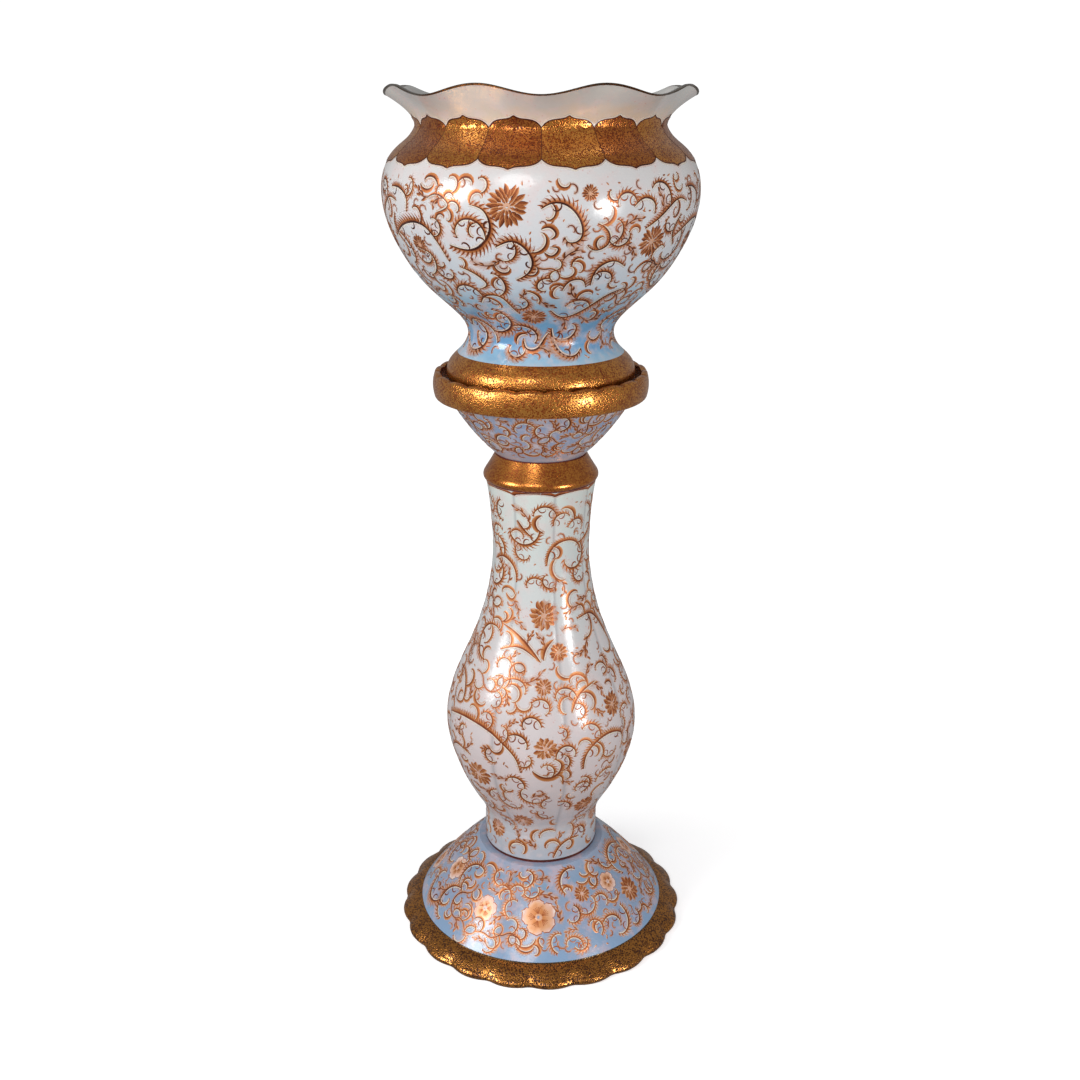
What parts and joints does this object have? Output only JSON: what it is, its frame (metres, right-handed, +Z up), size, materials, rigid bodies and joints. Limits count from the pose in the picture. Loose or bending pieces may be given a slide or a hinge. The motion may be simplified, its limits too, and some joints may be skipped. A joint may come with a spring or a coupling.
{
  "type": "jardiniere on stand",
  "caption": "Glazed ceramic jardiniere with a wavy flared rim on a tall baluster stand with a dish top and a scalloped bell foot; the pot lifts off.",
  "frame": {"origin": "on the floor, on the axis, under the middle of the foot", "axes": "+Z up along the axis; -Y towards the front of the picture"},
  "size_m": [0.3554, 0.356, 1],
  "materials": {
    "white_glaze": "glossy blue-white glaze with gilt scrolls",
    "blue_glaze": "glossy light blue glaze with gilt scrolls",
    "gilding": "mottled brown-gold gilding",
    "bedding": "thin dark red leather rings",
    "steel": "plain steel"
  },
  "bodies": {
    "stand": {"foot": "blue_glaze", "stem": "white_glaze", "collar": "gilding", "dish": "blue_glaze", "foot_bedding_ring": "bedding", "stem_bedding_ring": "bedding", "collar_bedding_ring": "bedding", "pot_bedding_ring": "bedding", "tie_rod": "steel", "lower_nut": "steel", "lower_washer": "steel", "upper_nut": "steel", "upper_washer": "steel"},
    "jardiniere": {"jardiniere_pot": "white_glaze"}
  },
  "joints": [
    {"name": "pot_lift", "type": "slide", "parent": "stand", "child": "jardiniere", "axis": [0, 0, 1], "range_m": [0, 0.12]}
  ]
}
